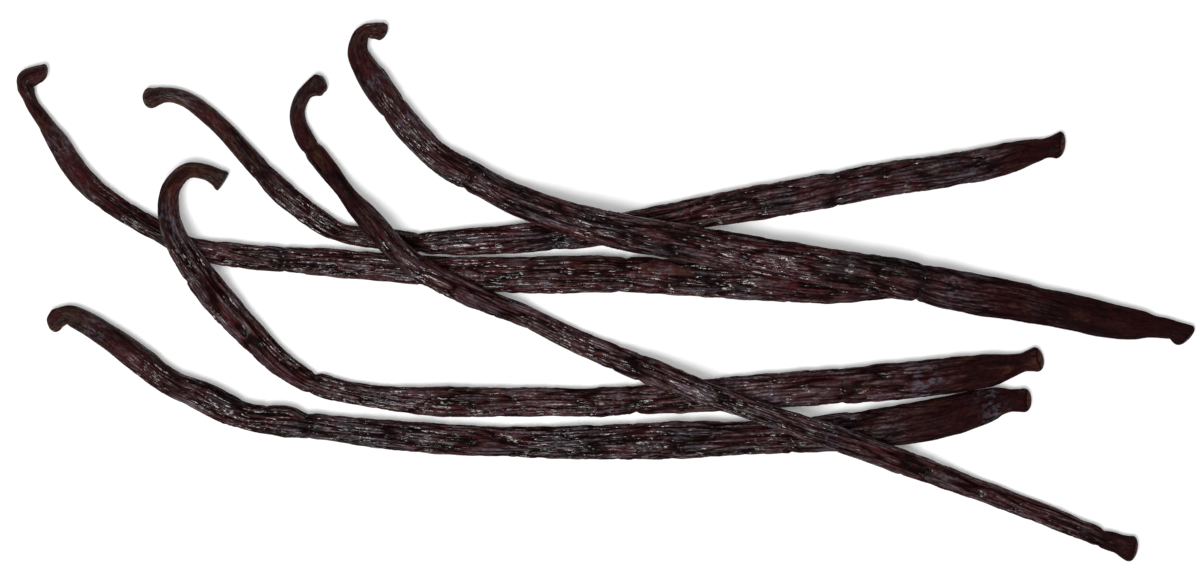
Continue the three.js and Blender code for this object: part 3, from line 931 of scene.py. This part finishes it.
    def surface(self):
        """Broken gloss on the ridges, a dull ground and a fine grain."""
        graph = self.graph
        gloss = graph.product(
            self.streaks(0.38, 1.7, 0.43, 0.1, 31.1),
            self.patches(4.0, 10.0, 0.32, 0.2, 37.9),
            self.patches(0.22, 0.5, 0.4, 0.14, 91.9),
            graph.smooth(self.wrinkled, 0.15, 0.9, 0.35, 1.0),
            self.dry,
        )
        worn = self.patches(3.2, 6.0, 0.42, 0.2, 43.3)
        roughness = graph.smooth(worn, 0.0, 1.0, 0.42, 0.6)
        grain = shader_group("skin_grain", GRAIN_INPUTS, {"Height": FLOAT}, fill_grain)
        height = self.placed(grain, self.skin, self.wrinkled)
        bump = graph.add(
            "ShaderNodeBump",
            {"Strength": GRAIN_STRENGTH, "Distance": GRAIN_DEPTH, "Height": height},
        )
        surface = graph.add(
            "ShaderNodeBsdfPrincipled",
            {
                "Base Color": self.colour,
                "Roughness": roughness,
                "Specular IOR Level": 0.02,
                "Coat Weight": gloss,
                "Coat Roughness": COAT_ROUGHNESS,
                "Normal": bump.outputs[0],
            },
        )
        graph.add("ShaderNodeOutputMaterial", {"Surface": surface.outputs[0]})


def floor_material(colour, glow):
    """A plain floor that gives off a little light."""
    material = bpy.data.materials.new("pale_floor")
    material.use_nodes = True
    surface = material.node_tree.nodes["Principled BSDF"]
    surface.inputs["Base Color"].default_value = colour
    surface.inputs["Roughness"].default_value = 0.9
    surface.inputs["Specular IOR Level"].default_value = 0.1
    surface.inputs["Emission Color"].default_value = colour
    surface.inputs["Emission Strength"].default_value = glow
    return material


# ---- Operators ----


class MakePods(bpy.types.Operator):
    """Build the skin of every pod along its frame solid"""

    bl_idname = "vanilla.make_pods"
    bl_label = "Make pods"

    def execute(self, context):
        settings = context.scene.pod_skin
        tree = SkinTree().tree
        for node, look in PODS.items():
            piece = self.build(context, tree, node, look, settings)
            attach(piece, "root")
            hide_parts(node)
        return {"FINISHED"}

    def build(self, context, tree, node, look, settings):
        """One pod as a plain mesh."""
        guide = guide_mesh(node, look)
        drawn = bpy.data.objects.new(node + "_guide", guide)
        context.collection.objects.link(drawn)
        modifier = drawn.modifiers.new("Draw pod skin", "NODES")
        modifier.node_group = tree
        given = {
            "Points around": settings.around,
            "Seed": look["seed"],
            "Girth": look["girth"] * MM,
            "Furrows": float(round(look["girth"] * MM / settings.furrow_spacing)),
            "Wrinkle spacing": settings.wrinkle_spacing,
            "Wrinkle length": settings.wrinkle_length,
            "Wrinkle depth": settings.wrinkle_depth,
            "Furrow depth": settings.furrow_depth,
            "Fine depth": settings.fine_depth,
            "Hollow depth": settings.hollow_depth,
            "Fold depth": settings.fold_depth,
            "Knob": look["knob"] * MM,
            "Stem slant": look["stem_slant"],
            "Tip slant": look["tip_slant"],
            "Tip tilt": look["tip_tilt"],
            "Smooth stem": look["smooth_stem"] * MM,
            "Smooth tip": look["smooth_tip"] * MM,
            "Skin": PodSkin(node, look, settings).material,
        }
        for item in tree.interface.items_tree:
            if item.in_out == "INPUT" and item.name in given:
                modifier[item.identifier] = given[item.name]
        context.view_layer.update()
        evaluated = drawn.evaluated_get(context.evaluated_depsgraph_get())
        mesh = bpy.data.meshes.new_from_object(evaluated)
        mesh.name = node + "_skin"
        bpy.data.objects.remove(drawn)
        bpy.data.meshes.remove(guide)
        piece = bpy.data.objects.new(node.replace("pod_", "") + "_pod", mesh)
        context.collection.objects.link(piece)
        return piece


class MakeStage(bpy.types.Operator):
    """Build the pale floor, the soft lights and the camera over the pods"""

    bl_idname = "vanilla.make_stage"
    bl_label = "Make stage"

    def execute(self, context):
        settings = context.scene.pod_stage
        self.floor(context, settings)
        self.lights(context, settings)
        self.camera(context, settings)
        return {"FINISHED"}

    def floor(self, context, settings):
        half = settings.floor_side / 2
        corners = [(-half, -half, 0), (half, -half, 0), (half, half, 0), (-half, half, 0)]
        mesh = bpy.data.meshes.new("floor")
        mesh.from_pydata(corners, [], [(0, 1, 2, 3)])
        mesh.materials.append(floor_material(settings.floor_colour, settings.floor_glow))
        floor = bpy.data.objects.new("floor", mesh)
        context.collection.objects.link(floor)

    def lights(self, context, settings):
        self.light(context, "key_light", settings.key_power, KEY_SIZE, KEY_PLACE)
        fill = self.light(context, "fill_light", settings.fill_power, FILL_SIZE, FILL_PLACE)
        fill.visible_glossy = False     # only the key light glints on the oily ridges
        world = bpy.data.worlds.new("studio")
        world.use_nodes = True
        sky = world.node_tree.nodes["Background"].inputs
        sky["Strength"].default_value = settings.sky
        sky["Color"].default_value = (1, 1, 1, 1)
        context.scene.world = world

    def light(self, context, name, power, size, place):
        """A soft square light that faces the middle of the floor."""
        lamp = bpy.data.lights.new(name, "AREA")
        lamp.energy = power
        lamp.size = size
        light = bpy.data.objects.new(name, lamp)
        light.location = place
        light.rotation_euler = (-Vector(place)).to_track_quat("-Z", "Y").to_euler()
        context.collection.objects.link(light)
        return light

    def camera(self, context, settings):
        low, high = (Vector(corner) for corner in CAD_BOX)
        middle = (low + high) / 2
        middle.z = LEVEL_SHARE * high.z
        lens = bpy.data.cameras.new("camera")
        lens.sensor_width = SENSOR
        lens.lens = SENSOR * settings.camera_height / ((high.x - low.x) * VIEW_SHARE)
        lens.clip_end = 100
        camera = bpy.data.objects.new("camera", lens)
        camera.location = (
            middle.x + VIEW_OFFSET[0], middle.y + VIEW_OFFSET[1], middle.z + settings.camera_height
        )
        context.collection.objects.link(camera)
        context.scene.camera = camera
        context.scene.view_settings.view_transform = "Standard"
        context.scene.view_settings.look = "None"


class PodPanel(bpy.types.Panel):
    """Lists the steps that build the bundle"""

    bl_idname = "VIEW3D_PT_vanilla_pods"
    bl_label = "Vanilla pods"
    bl_space_type = "VIEW_3D"
    bl_region_type = "UI"
    bl_category = "Vanilla pods"

    def draw(self, context):
        for operator in (MakePods, MakeStage):
            self.layout.operator(operator.bl_idname)
        for group in (context.scene.pod_skin, context.scene.pod_stage):
            for name in group.__annotations__:
                self.layout.prop(group, name)


CLASSES = (PodSkinSettings, StageSettings, MakePods, MakeStage, PodPanel)


def register():
    for entry in CLASSES:
        bpy.utils.register_class(entry)
    bpy.types.Scene.pod_skin = PointerProperty(type=PodSkinSettings)
    bpy.types.Scene.pod_stage = PointerProperty(type=StageSettings)


def unregister():
    del bpy.types.Scene.pod_stage
    del bpy.types.Scene.pod_skin
    for entry in reversed(CLASSES):
        bpy.utils.unregister_class(entry)


def main():
    register()
    bpy.ops.vanilla.make_pods()
    bpy.ops.vanilla.make_stage()


if __name__ == "__main__":
    main()
